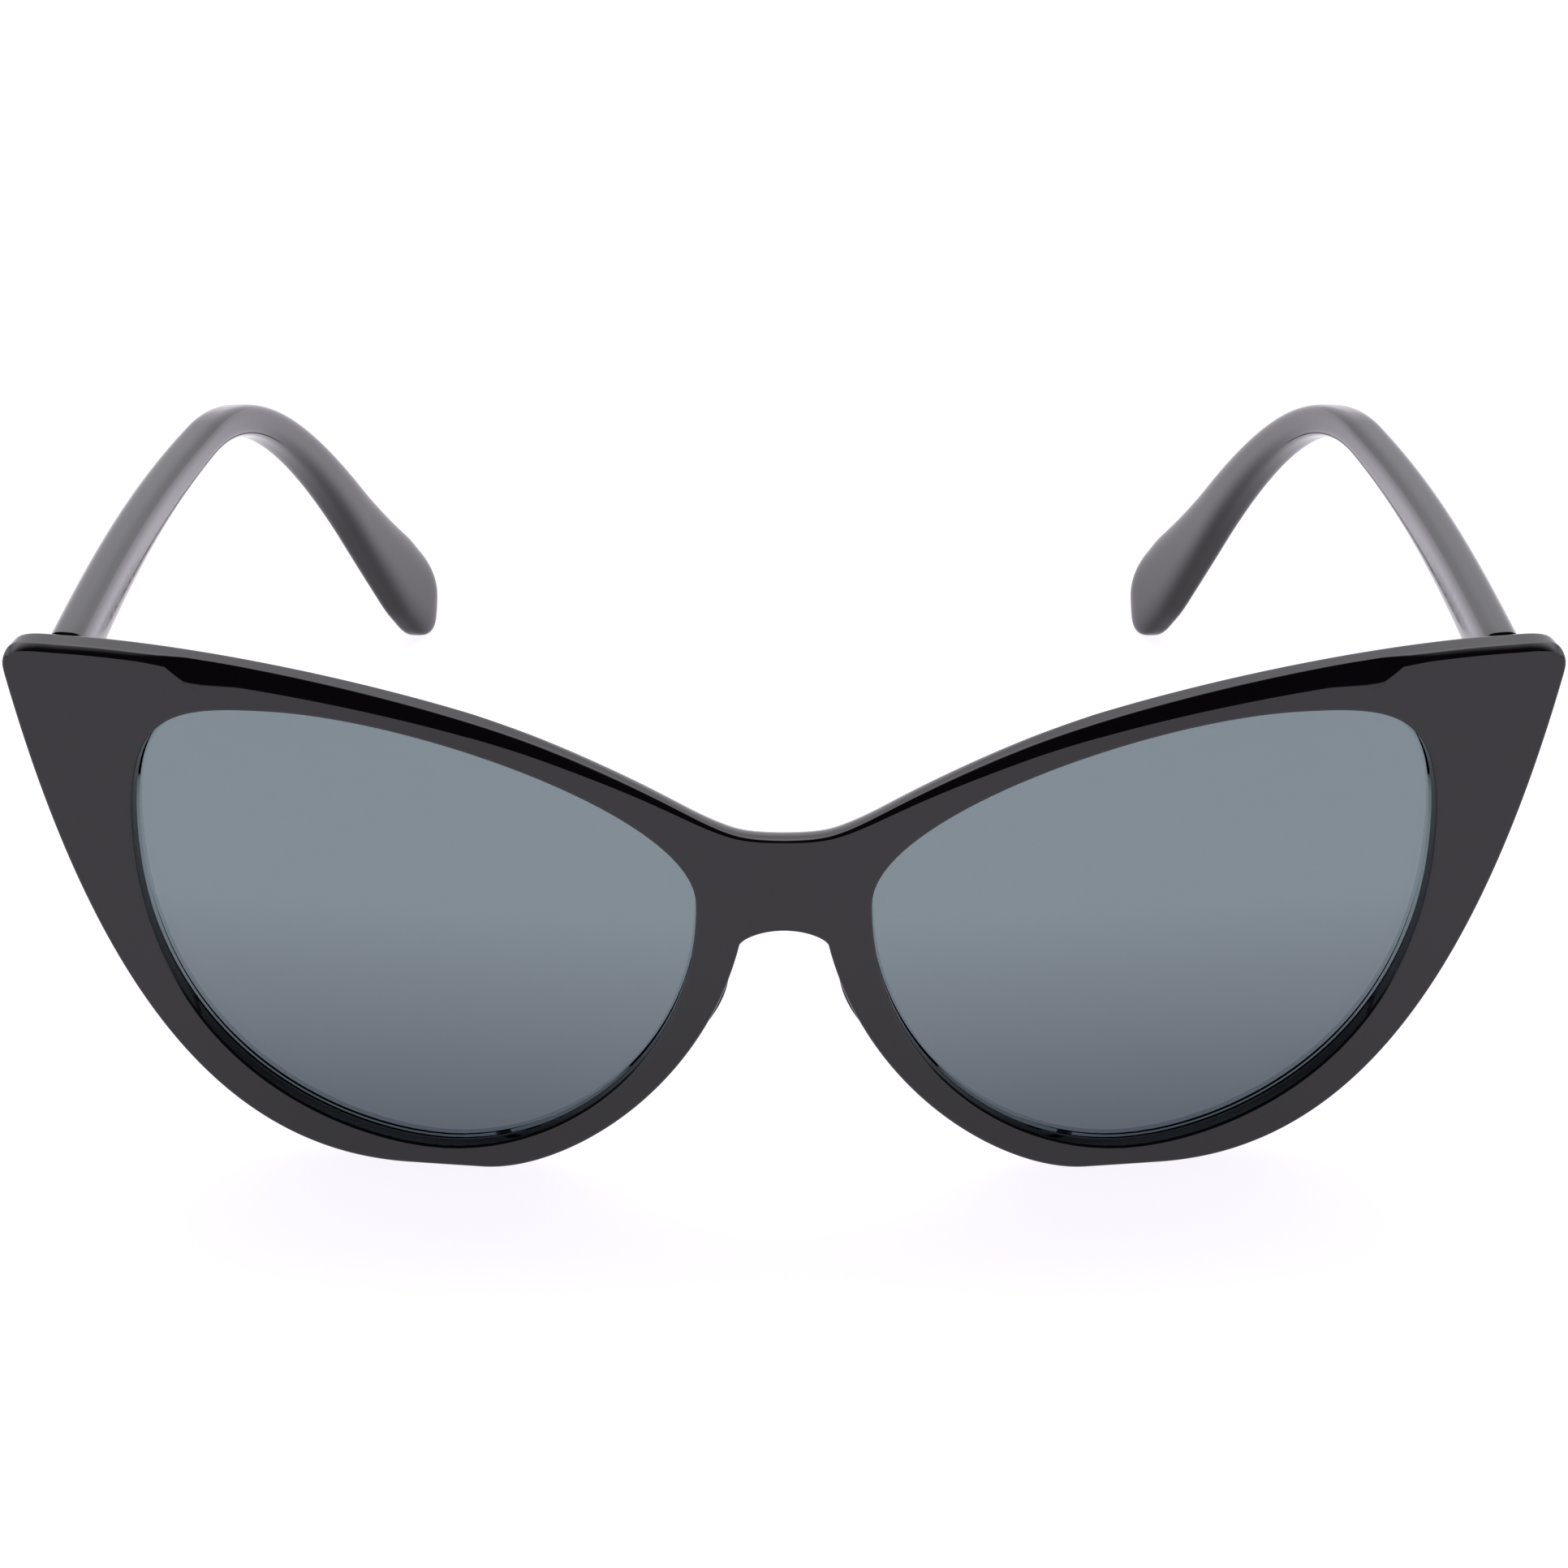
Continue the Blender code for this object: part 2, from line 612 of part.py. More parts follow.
def build_nut(name, side, surface, root):
    """The lock nut under the lower barrel."""
    place = hinge_place(side)
    top = -STACK_HALF_HEIGHT - SMALL_GAP
    bm, bore = bmesh.new(), bmesh.new()
    add_prism(bm, arc(NUT_RADIUS, 0, 2 * pi, 6)[:-1], top - NUT_HEIGHT, top, place)
    nut = add_object(name, bm, surface, root)
    add_rod(bore, (0, 0, top - 2), (0, 0, top + 1), BORE_RADIUS, place)
    cut(nut, name + "_bore_cutter", bore)


def build_leaf_screws(word, side, surface, root):
    """Two small screws through one front leaf, heads to the back."""
    place = hinge_place(side, leaf_tilt())
    head = -AXIS_STANDOFF + FRONT_LEAF_PROUD + SMALL_GAP
    end = -AXIS_STANDOFF - FRONT_LEAF_SUNK - LEAF_SCREW_DEPTH
    steps = ((LEAF_SCREW_HEAD, head + LEAF_SCREW_HEAD_HEIGHT), (LEAF_SCREW_HEAD, head),
             (LEAF_SCREW_RADIUS, head), (LEAF_SCREW_RADIUS, end))
    for number, distance in enumerate(LEAF_SCREW_PLACES, 1):
        rings = []
        for radius, back in steps:
            circle = arc(radius, 0, 2 * pi, ROUND_POINTS // 2)[:-1]
            rings.append([place @ Vector((u - distance, back, v)) for u, v in circle])
        bm = bmesh.new()
        add_rings(bm, rings)
        add_object(f"leaf_screw_{word}_{number}", bm, surface, root)


def build():
    """The whole pair, moved so that the origin is under the middle of its box."""
    for old in list(bpy.data.objects):
        bpy.data.objects.remove(old, do_unlink=True)
    root = add_empty("sunglasses", (0, 0, 0))
    build_front(material("black_acetate", (0.012, 0.011, 0.013), 0.08), root)
    deepest = 0
    for word, side in SIDES.items():
        axis = add_empty("hinge_axis_" + word, axis_point(side) * MM, root)
        lens = material("lens_smoke_" + word, (0.16, 0.18, 0.21), 0.03)
        build_lens("lens_" + word, side, lens, root)
        pad = material("pad_acetate_" + word, (0.014, 0.013, 0.015), 0.25)
        build_nose_pad("nose_pad_" + word, side, pad, root)
        arm = material("temple_acetate_" + word, (0.013, 0.012, 0.014), 0.1)
        temple = build_temple("temple_" + word, side, arm, axis)
        wire = material("core_wire_steel_" + word, (0.45, 0.45, 0.46), 0.35, 1.0)
        build_wire("temple_core_wire_" + word, side, wire, axis)
        leaf = material("hinge_steel_" + word, (0.55, 0.55, 0.56), 0.25, 1.0)
        build_front_leaf("front_hinge_leaf_" + word, side, leaf, root)
        build_temple_leaf("temple_hinge_leaf_" + word, side, leaf, axis)
        screw = material("screw_steel_" + word, (0.6, 0.6, 0.6), 0.2, 1.0)
        build_screw("hinge_screw_" + word, side, screw, root)
        nut = material("nut_steel_" + word, (0.5, 0.5, 0.5), 0.3, 1.0)
        build_nut("hinge_nut_" + word, side, nut, root)
        small = material("leaf_screw_steel_" + word, (0.6, 0.59, 0.57), 0.25, 1.0)
        build_leaf_screws(word, side, small, root)
        deepest = max(vertex.co.y for vertex in temple.data.vertices) + axis.location.y
    root.location.y = -deepest / 2


build()
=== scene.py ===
import json
from math import atan, atan2, cos, pi, radians, sin, tan

import bmesh
import bpy
import numpy as np
from mathutils import Matrix, Vector
from mathutils.geometry import interpolate_bezier


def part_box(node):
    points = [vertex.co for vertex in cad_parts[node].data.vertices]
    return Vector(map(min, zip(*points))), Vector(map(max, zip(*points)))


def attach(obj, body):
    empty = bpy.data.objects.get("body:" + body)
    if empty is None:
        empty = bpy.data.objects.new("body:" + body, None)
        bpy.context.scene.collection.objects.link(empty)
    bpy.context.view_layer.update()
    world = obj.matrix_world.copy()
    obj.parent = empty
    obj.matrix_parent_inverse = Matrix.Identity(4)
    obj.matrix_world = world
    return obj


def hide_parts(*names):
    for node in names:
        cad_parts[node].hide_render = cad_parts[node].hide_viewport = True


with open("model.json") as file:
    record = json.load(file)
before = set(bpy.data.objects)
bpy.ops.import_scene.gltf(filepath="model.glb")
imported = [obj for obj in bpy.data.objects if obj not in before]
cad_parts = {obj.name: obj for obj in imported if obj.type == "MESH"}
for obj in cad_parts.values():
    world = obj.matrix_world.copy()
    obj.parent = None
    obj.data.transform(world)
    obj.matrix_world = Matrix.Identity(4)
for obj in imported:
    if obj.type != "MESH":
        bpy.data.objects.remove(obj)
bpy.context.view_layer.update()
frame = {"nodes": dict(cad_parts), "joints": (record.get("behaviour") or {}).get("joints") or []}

# Sizes are in millimetres; MM turns them into the frame's metres. Right and left are the
# wearer's, and the front's sheet stands at FRONT_Y with its rims on the floor.
MM = 0.001
NODES = frame["nodes"]
FRONT_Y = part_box("front_frame")[0][1] / MM
SIDES = {"right": -1, "left": 1}
JOINTS = {joint["child"]: joint for joint in frame["joints"]}

# The front's sheet
THICKNESS = 3.8
BRIDGE_FLAT = 3.5
BRIDGE_CREASE = 3.0
SWEEP = radians(5)
WRAP_RADIUS = 700.0

# The front's outline, as (distance from the middle, height)
BRIDGE_TOP = 37.3
BRIDGE_UNDER = 27.6
NASAL = Vector((4.3, 26.0))
BROW = Vector((22.8, 45.6))
BROW_DIRECTION = Vector((1.0, 0.376)).normalized()
WING = Vector((70.4, 53.6))
CORNER = Vector((75.1, 50.3))
FOOT_INNER = 30.0
FOOT_OUTER = 37.5
FINENESS = 4           # outline points for each one of the frame's own

# The front's edges
EDGE = 0.35
BACK_EDGE = 0.6
BACK_PLACES = (9.0, 21.0, 30.0)
BACK_INSETS = (1.5, 0.9, 0.75)
BACK_DEPTHS = (2.7, 1.5, 0.75)
BAND_PLACES = (6.0, 13.0, 20.0, 52.0, 55.5, 57.2, 59.0, 61.5)
BAND_WIDTHS = (0.25, 0.45, 0.69, 1.6, 2.1, 2.1, 0.72, 0.56)
BAND_DEPTHS = (0.42, 0.82, 1.3, 1.4, 1.3, 1.3, 1.25, 1.03)
SUPPORT = 0.06         # from a rounding to the ring that keeps the face beside it flat
WELD = 0.002

# Lens and its opening
LENS_CENTRE = Vector((36.0, 30.0))
OPENING_NASAL = Vector((8.5, 30.3))
OPENING_TOP = Vector((49.1, 48.3))
OPENING_TEMPORAL = Vector((63.4, 34.8))
OPENING_BOTTOM = Vector((34.0, 2.2))
LENS_FRONT = 1.9
LENS_THICKNESS = 1.3
LENS_BEVEL = 0.7
LENS_GAP = 0.3
LENS_SHARES = (0.15, 0.4, 0.6, 0.8)
GROOVE_DEPTH = 1.3
GROOVE_MARGIN = 0.2

# Hinges: boxes cut along each one's own axes (outwards, backwards, up), lowest and highest corner
HINGE_OUT = 65.4
LEAF_SEAT = ((-6.55, -2.75, -2.05), (1.55, -0.75, 2.05))
TEMPLE_SLOT = ((3.1, -4, -1.4), (4.6, 12.9, 1.4))
TEMPLE_NOTCH = ((0, -5, -1.05), (4.2, 1.7, 1.05))

# Temples
TEMPLE_LENGTH = 151.6
TEMPLE_OUT = 69.3
TEMPLE_HEIGHT = 50.65
TEMPLE_SLOPE = radians(3.57)
STRAIGHT_LENGTH = 75.0
BEND_RADIUS = 60.0
TIP_SLOPE = radians(56.2)
BOW = 22.8
BOW_POWER = 2.8
TEMPLE_THICKNESS = 3.95
HINGE_SECTION = 5.9
BEND_SECTION = 3.65
TIP_SECTION = 12.3
WIDENING_POWER = 3.25
FULL_TIP = 8.0         # from a temple's end to where it is tallest
TIP_ROUNDING = 5.0
SQUARENESS = 3.5
BUTT_GAP = 0.15

# Nose pads
PAD_CENTRE = Vector((8.2, 18.6))
PAD_TILT = radians(24)
PAD_HALF_LENGTH = 5.0
PAD_HALF_WIDTH = 1.8
PAD_HEIGHT = 3.2
PAD_GAP = 0.3


# Mesh helpers

def new_piece(name, bm, surface, body, *nodes):
    """A piece made from a bmesh in millimetres, riding on a body in place of CAD nodes."""
    bm.transform(Matrix.Scale(MM, 4))
    bmesh.ops.recalc_face_normals(bm, faces=bm.faces)
    mesh = bpy.data.meshes.new(name)
    bm.to_mesh(mesh)
    bm.free()
    mesh.shade_smooth()
    mesh.materials.append(surface)
    piece = bpy.data.objects.new(name, mesh)
    bpy.context.scene.collection.objects.link(piece)
    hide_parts(*nodes)
    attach(piece, body)
    return piece


def add_grid(bm, loops):
    """Skins rings of vertices that close on themselves."""
    count = len(loops[0])
    for near, far in zip(loops, loops[1:]):
        for i in range(count):
            j = (i + 1) % count
            bm.faces.new((near[i], near[j], far[j], far[i]))


def add_rings(bm, rings, first_cap=True, last_cap=True):
    """Skins closed rings of points."""
    loops = [[bm.verts.new(point) for point in ring] for ring in rings]
    add_grid(bm, loops)
    if first_cap:
        bm.faces.new(loops[0][::-1])
    if last_cap:
        bm.faces.new(loops[-1])
    return loops


# The sheet that the front is cut from

def sheet(x):
    """How far back the front's face lies at a distance from the middle."""
    across = (abs(x) - BRIDGE_FLAT) / BRIDGE_CREASE
    entry = min(max(across, 0), 1)
    swept = BRIDGE_CREASE * (entry ** 3 - entry ** 4 / 2 + max(across - 1, 0))
    wrapped = max(abs(x) - BRIDGE_FLAT, 0)
    return tan(SWEEP) * swept + wrapped ** 2 / (2 * WRAP_RADIUS)


def sheet_slope(x):
    """Angle at which the face sweeps back at a distance from the middle."""
    entry = min(max((abs(x) - BRIDGE_FLAT) / BRIDGE_CREASE, 0), 1)
    wrapped = max(abs(x) - BRIDGE_FLAT, 0)
    return atan(tan(SWEEP) * entry ** 2 * (3 - 2 * entry) + wrapped / WRAP_RADIUS)


def sheet_back(x):
    """How far back the front's back face lies."""
    return sheet(x) + THICKNESS / cos(sheet_slope(x))


def on_sheet(side, x, depth, z):
    """A point at a depth behind the front's face, square to it."""
    slope = sheet_slope(x)
    y = sheet(x) + depth * cos(slope)
    return Vector((side * (x - depth * sin(slope)), FRONT_Y + y, z))


def curve(start, start_handle, end_handle, end, steps):
    """Points of one curved stretch, its end left out."""
    return interpolate_bezier(start, start_handle, end_handle, end, steps + 1)[:-1]


def front_outline():
    """One half's outline: from the bridge's top, round the eye, and up the middle."""
    n = FINENESS
    top, under = Vector((0, BRIDGE_TOP)), Vector((0, BRIDGE_UNDER))
    foot_outer, foot_inner = Vector((FOOT_OUTER, 0)), Vector((FOOT_INNER, 0))
    side, rise = Vector((-0.2, -1.0)).normalized(), Vector((-0.24, 1.0)).normalized()
    points = curve(top, Vector((7.8, BRIDGE_TOP)), BROW - 17.2 * BROW_DIRECTION, BROW, 9 * n)
    points += curve(BROW, BROW + 10.8 * BROW_DIRECTION, WING + Vector((-16.9, 0.15)), WING, 15 * n)
    points += curve(WING, WING + Vector((4.0, 0.1)), CORNER - 3.2 * side, CORNER, 4 * n)
    points += curve(CORNER, CORNER + 42.0 * side, Vector((51.5, 0)), foot_outer, 18 * n)
    points += [foot_outer.lerp(foot_inner, i / n) for i in range(n)]
    points += curve(foot_inner, Vector((22.0, 0)), NASAL - 17.0 * rise, NASAL, 14 * n)
    points += curve(NASAL, NASAL + 0.6 * rise, Vector((2.4, BRIDGE_UNDER)), under, 4 * n)
    points += [under.lerp(top, i / (2 * n)) for i in range(2 * n)]
    return points


def opening_outline():
    """The lens opening's edge, densely."""
    nasal, top, side, low = OPENING_NASAL, OPENING_TOP, OPENING_TEMPORAL, OPENING_BOTTOM
    points = curve(nasal, nasal + Vector((0, 9.0)), top - Vector((15.0, 0)), top, 200)
    points += curve(top, top + Vector((9.5, 0)), side + Vector((0, 12.6)), side, 200)
    points += curve(side, side - Vector((0, 25.1)), low + Vector((10.0, 0)), low, 200)
    points += curve(low, low - Vector((12.0, 0)), nasal - Vector((0, 17.2)), nasal, 200)
    return points


def stations():
    """Outline points with their outward directions, and the opening's radius on each ray."""
    arms = [point - LENS_CENTRE for point in opening_outline()]
    angles = np.array([atan2(arm.y, arm.x) for arm in arms])
    radii = np.array([arm.length for arm in arms])
    order = np.argsort(angles)
    outline = front_outline()
    result = []
    for index, point in enumerate(outline):
        ahead, behind = outline[(index + 1) % len(outline)], outline[index - 1]
        along = (ahead - behind).normalized()
        outward = Vector((-along.y, along.x))
        if point.x == 0:
            outward = Vector((0, 1 if point.y > (BRIDGE_TOP + BRIDGE_UNDER) / 2 else -1))
        arm = point - LENS_CENTRE
        radius = float(np.interp(atan2(arm.y, arm.x), angles[order], radii[order], period=2 * pi))
        result.append((point, outward, arm.normalized(), radius))
    return result


# Front

def edge_ease(point, outward):
    """Width, depth and roundness of the front edge: a flat wide band along the brow."""
    share = min(max(2 * outward.y, 0), 1)
    width = float(np.interp(point.x, BAND_PLACES, BAND_WIDTHS))
    depth = float(np.interp(point.x, BAND_PLACES, BAND_DEPTHS))
    round_share = 1 - 0.9 * share * min(point.x / BAND_PLACES[0], 1)
    return EDGE + share * (width - EDGE), EDGE + share * (depth - EDGE), round_share


def back_ease(point, outward):
    """Inset and depth of the rounded back edge, fullest over the bridge."""
    share = min(max(2 * outward.y, 0), 1)
    inset = float(np.interp(point.x, BACK_PLACES, BACK_INSETS))
    reach = float(np.interp(point.x, BACK_PLACES, BACK_DEPTHS))
    return BACK_EDGE + share * (inset - BACK_EDGE), BACK_EDGE + share * (reach - BACK_EDGE)


def front_section(station, side):
    """Points round the section at one station, and how many of them meet the middle."""
    point, outward, ray, radius = station
    inner = LENS_CENTRE + radius * ray
    width, depth, round_share = edge_ease(point, outward)
    on_middle = point.x == 0
    at_end = on_middle and point.y in (Vector((0, BRIDGE_TOP)).y, Vector((0, BRIDGE_UNDER)).y)
    section = []

    def add(flat, deep):
        section.append(on_sheet(side, max(flat.x, 0), deep, flat.y))

    # opening's front edge
    for step in range(5):
        angle = pi / 2 * step / 4
        add(inner + EDGE * (1 - cos(angle)) * ray, EDGE * (1 - sin(angle)))
    eased = point - width * outward if at_end or not on_middle else point
    near, far = inner + (EDGE + SUPPORT) * ray, eased - SUPPORT * ray
    for step in range(9):
        add(near.lerp(far, step / 8), 0)
    middle_start = len(section)
    # front edge, flat face's end to the outer wall
    for step in range(7):
        t = step / 6
        flat = Vector((width * (1 - t), depth * t))
        arc = Vector((width * (1 - sin(t * pi / 2)), depth * (1 - cos(t * pi / 2))))
        profile = flat.lerp(arc, round_share)
        if on_middle and not at_end:
            add(point, 0)
        else:
            add(point - profile.x * outward, profile.y)
    # outer wall and back edge
    inset, reach = back_ease(point, outward)
    wall = [(0, depth + SUPPORT), (0, THICKNESS - reach - SUPPORT)]
    for step in range(6):
        angle = pi / 2 * step / 5
        wall.append((inset * (1 - cos(angle)), THICKNESS - reach * (1 - sin(angle))))
    back_inset = inset + SUPPORT if at_end or not on_middle else SUPPORT
    for inwards, deep in wall:
        if on_middle and not at_end:
            add(point, THICKNESS)
        else:
            add(point - inwards * outward, deep)
    middle_end = len(section) - 1
    near = point - back_inset * (ray if on_middle and not at_end else outward)
    far = inner + (EDGE + SUPPORT) * ray
    for step in range(4):
        add(near.lerp(far, step / 3), THICKNESS)
    # opening's back edge and the groove
    for step in range(5):
        angle = pi / 2 * step / 4
        add(inner + EDGE * (1 - sin(angle)) * ray, THICKNESS - EDGE * (1 - cos(angle)))
    groove_front = LENS_FRONT - GROOVE_MARGIN
    groove_back = LENS_FRONT + LENS_THICKNESS + GROOVE_MARGIN
    add(inner, groove_back)
    add(inner + GROOVE_DEPTH * ray, (groove_front + groove_back) / 2)
    add(inner, groove_front)
    return section, middle_start, middle_end


def add_front_half(bm, side, half):
    """One eye's half of the front, left open where it meets the other half."""
    sections = [front_section(station, side) for station in half]
    loops = [[bm.verts.new(point) for point in section] for section, _, _ in sections]
    count = len(loops[0])
    for index, loop in enumerate(loops):
        following = (index + 1) % len(loops)
        on_middle = half[index][0].x == 0 and half[following][0].x == 0
        _, first, last = sections[index]
        other = loops[following]
        for i in range(count):
            if on_middle and first <= i < last:
                continue
            j = (i + 1) % count
            bm.faces.new((loop[i], loop[j], other[j], other[i]))


def box_cutter(name, low, high, place):
    """A hidden box that cuts a seat."""
    bm = bmesh.new()
    bmesh.ops.create_cube(bm, size=1)
    size = Vector(high) - Vector(low)
    centre = (Vector(high) + Vector(low)) / 2
    bm.transform(Matrix.Scale(MM, 4) @ place @ Matrix.Translation(centre) @ Matrix.Diagonal((*size, 1)))
    bmesh.ops.recalc_face_normals(bm, faces=bm.faces)
    mesh = bpy.data.meshes.new(name)
    bm.to_mesh(mesh)
    bm.free()
    return bpy.data.objects.new(name, mesh)


def carve(piece, cutters):
    """Cuts the boxes out of a piece and keeps the result as its mesh."""
    for cutter in cutters:
        bpy.context.scene.collection.objects.link(cutter)
        boolean = piece.modifiers.new(cutter.name, "BOOLEAN")
        boolean.object = cutter
        boolean.solver = "EXACT"
    bpy.context.view_layer.update()
    cut = bpy.data.meshes.new_from_object(piece.evaluated_get(bpy.context.evaluated_depsgraph_get()))
    piece.modifiers.clear()
    piece.data = cut
    cut.set_sharp_from_angle(angle=radians(50))
    for cutter in cutters:
        bpy.data.objects.remove(cutter)


def hinge_place(side, tilt=0.0):
    """From a hinge's own axes (outwards, backwards, up) to the frame's, in millimetres."""
    body = "right_temple" if side < 0 else "left_temple"
    axis = Vector(JOINTS[body]["pos_m"]) / MM
    mirror = Matrix.Diagonal((side, 1, 1, 1))
    return Matrix.Translation(axis) @ mirror @ Matrix.Rotation(tilt, 4, "Z")


def build_front(surface):
    """The front in one piece, with its seats for the hinge leaves."""
    bm = bmesh.new()
    half = stations()
    for side in SIDES.values():
        add_front_half(bm, side, half)
    bmesh.ops.remove_doubles(bm, verts=bm.verts, dist=WELD)
    bmesh.ops.dissolve_degenerate(bm, edges=bm.edges, dist=WELD)
    bmesh.ops.delete(bm, geom=[v for v in bm.verts if not v.link_faces], context="VERTS")
    front = new_piece("front", bm, surface, "front", "front_frame")
    tilt = sheet_slope(HINGE_OUT)
    cutters = []
    for word, side in SIDES.items():
        cutters.append(box_cutter("seat_" + word, *LEAF_SEAT, hinge_place(side, tilt)))
    carve(front, cutters)
    return front


# Lenses

def build_lens(name, side, surface, node):
    """A lens whose bevelled edge stands in the front's groove."""
    half = stations()
    front, back = LENS_FRONT, LENS_FRONT + LENS_THICKNESS
    layout = [(share, front, 0) for share in LENS_SHARES]
    layout += [(1, front, -LENS_GAP - SUPPORT), (1, front, -LENS_GAP)]
    layout += [(1, (front + back) / 2, LENS_BEVEL)]
    layout += [(1, back, -LENS_GAP), (1, back, -LENS_GAP - SUPPORT)]
    layout += [(share, back, 0) for share in LENS_SHARES[::-1]]
    rings = []
    for share, depth, offset in layout:
        flat = [LENS_CENTRE + (share * radius + offset) * ray for _, _, ray, radius in half]
        rings.append([on_sheet(side, p.x, depth, p.y) for p in flat])
    bm = bmesh.new()
    loops = add_rings(bm, rings, first_cap=False, last_cap=False)
    for loop, depth in ((loops[0], front), (loops[-1], back)):
        centre = bm.verts.new(on_sheet(side, LENS_CENTRE.x, depth, LENS_CENTRE.y))
        for i, vertex in enumerate(loop):
            bm.faces.new((vertex, loop[(i + 1) % len(loop)], centre))
    lens = new_piece(name, bm, surface, "front", node)
    lens.data.set_sharp_from_angle(angle=radians(30))
    return lens


# Nose pads

def build_nose_pad(name, side, surface, node):
    """A domed pad glued to the back of the rim, beside the nose."""
    along = Vector((-sin(PAD_TILT), cos(PAD_TILT)))
    across = Vector((along.y, -along.x))
    base = THICKNESS + PAD_GAP
    rings = []
    for step in range(13):
        t = step / 12 * pi / 2
        share, lift = (cos(t) ** 0.8, 0.3 + 0.7 * sin(t)) if step else (1, 0)
        share = max(share, 0.02)
        ring = []
        for angle in np.linspace(0, 2 * pi, 48, endpoint=False):
            flat = PAD_CENTRE + share * PAD_HALF_LENGTH * sin(angle) * along
            flat += share * PAD_HALF_WIDTH * cos(angle) * across
            ring.append(on_sheet(side, flat.x, base + lift * PAD_HEIGHT, flat.y))
        rings.append(ring)
    bm = bmesh.new()
    add_rings(bm, rings)
    pad = new_piece(name, bm, surface, "front", node)
    pad.data.set_sharp_from_angle(angle=radians(60))
    return pad


# Temples

def temple_frame(s):
    """Middle point and side-view slope of a temple at a length from its hinge end."""
    bend_length = BEND_RADIUS * (TIP_SLOPE - TEMPLE_SLOPE)
    straight = min(s, STRAIGHT_LENGTH)
    y = straight * cos(TEMPLE_SLOPE)
    z = TEMPLE_HEIGHT - straight * sin(TEMPLE_SLOPE)
    bent = min(max(s - STRAIGHT_LENGTH, 0), bend_length)
    slope = TEMPLE_SLOPE + bent / BEND_RADIUS
    y += BEND_RADIUS * (sin(slope) - sin(TEMPLE_SLOPE))
    z -= BEND_RADIUS * (cos(TEMPLE_SLOPE) - cos(slope))
    tip = max(s - STRAIGHT_LENGTH - bend_length, 0)
    y += tip * cos(TIP_SLOPE)
    z -= tip * sin(TIP_SLOPE)
    x = TEMPLE_OUT - BOW * (s / TEMPLE_LENGTH) ** BOW_POWER
    return Vector((x, FRONT_Y + sheet_back(TEMPLE_OUT) + BUTT_GAP + y, z)), slope


def temple_section(s):
    """Height and thickness of a temple at a length from its hinge end."""
    height = np.interp(s, (0, STRAIGHT_LENGTH), (HINGE_SECTION, BEND_SECTION))
    widening = (s - STRAIGHT_LENGTH) / (TEMPLE_LENGTH - FULL_TIP - STRAIGHT_LENGTH)
    height += (TIP_SECTION - BEND_SECTION) * min(max(widening, 0), 1) ** WIDENING_POWER
    into_tip = max(s - (TEMPLE_LENGTH - TIP_ROUNDING), 0) / TIP_ROUNDING
    height *= max(1 - into_tip ** 2.5, 0.0005) ** 0.4
    thickness = TEMPLE_THICKNESS * max(1 - into_tip ** 6, 0.0005) ** 0.3
    return height, thickness


def rounded_rectangle(height, width, points):
    """Points of a section between an ellipse and a rectangle."""
    result = []
    for angle in np.linspace(0, 2 * pi, points, endpoint=False) + pi / points:
        c, s = cos(angle), sin(angle)
        across = width / 2 * np.sign(c) * abs(c) ** (2 / SQUARENESS)
        up = height / 2 * np.sign(s) * abs(s) ** (2 / SQUARENESS)
        result.append((across, up))
    return result


def build_temple(name, side, surface, body, node):
    """A temple, with the slot that its hinge leaf is sunk in."""
    lengths = list(np.linspace(0, TEMPLE_LENGTH - TIP_ROUNDING, 120))
    lengths += [TEMPLE_LENGTH - TIP_ROUNDING * (1 - sin(t)) for t in np.linspace(0, pi / 2, 16)[1:]]
    rings = []
    for s in lengths:
        middle, slope = temple_frame(s)
        height, width = temple_section(s)
        ring = []
        for across, up in rounded_rectangle(height, width, 56):
            x = middle.x + across
            y = middle.y + up * sin(slope)
            if s == 0:
                y = FRONT_Y + sheet_back(x) + BUTT_GAP
            ring.append(Vector((side * x, y, middle.z + up * cos(slope))))
        rings.append(ring)
    bm = bmesh.new()
    add_rings(bm, rings)
    temple = new_piece(name, bm, surface, body, node)
    place = hinge_place(side)
    slot = box_cutter(name + "_slot", *TEMPLE_SLOT, place)
    notch = box_cutter(name + "_notch", *TEMPLE_NOTCH, place)
    carve(temple, [slot, notch])
    return temple


# Materials

def principled(name):
    """A new material with its shader and a helper that adds nodes to it."""
    result = bpy.data.materials.new(name)
    result.use_nodes = True
    tree = result.node_tree
    return result, tree, tree.nodes["Principled BSDF"]


def noise(tree, scale, detail, coordinates="Object"):
    """A noise texture on the object's own coordinates."""
    source = tree.nodes.new("ShaderNodeTexCoord")
    texture = tree.nodes.new("ShaderNodeTexNoise")
    texture.inputs["Scale"].default_value = scale
    texture.inputs["Detail"].default_value = detail
    tree.links.new(source.outputs[coordinates], texture.inputs["Vector"])
    return texture


def spread(tree, output, low, high):
    """A value mapped from the noise's usual range to another."""
    node = tree.nodes.new("ShaderNodeMapRange")
    node.inputs["From Min"].default_value = 0.3
    node.inputs["From Max"].default_value = 0.7
    node.inputs["To Min"].default_value = low
    node.inputs["To Max"].default_value = high
    tree.links.new(output, node.inputs["Value"])
    return node.outputs["Result"]


def bump(tree, shader, output, strength, distance):
    """A faint bump from a texture."""
    node = tree.nodes.new("ShaderNodeBump")
    node.inputs["Strength"].default_value = strength
    node.inputs["Distance"].default_value = distance
    tree.links.new(output, node.inputs["Height"])
    tree.links.new(node.outputs["Normal"], shader.inputs["Normal"])


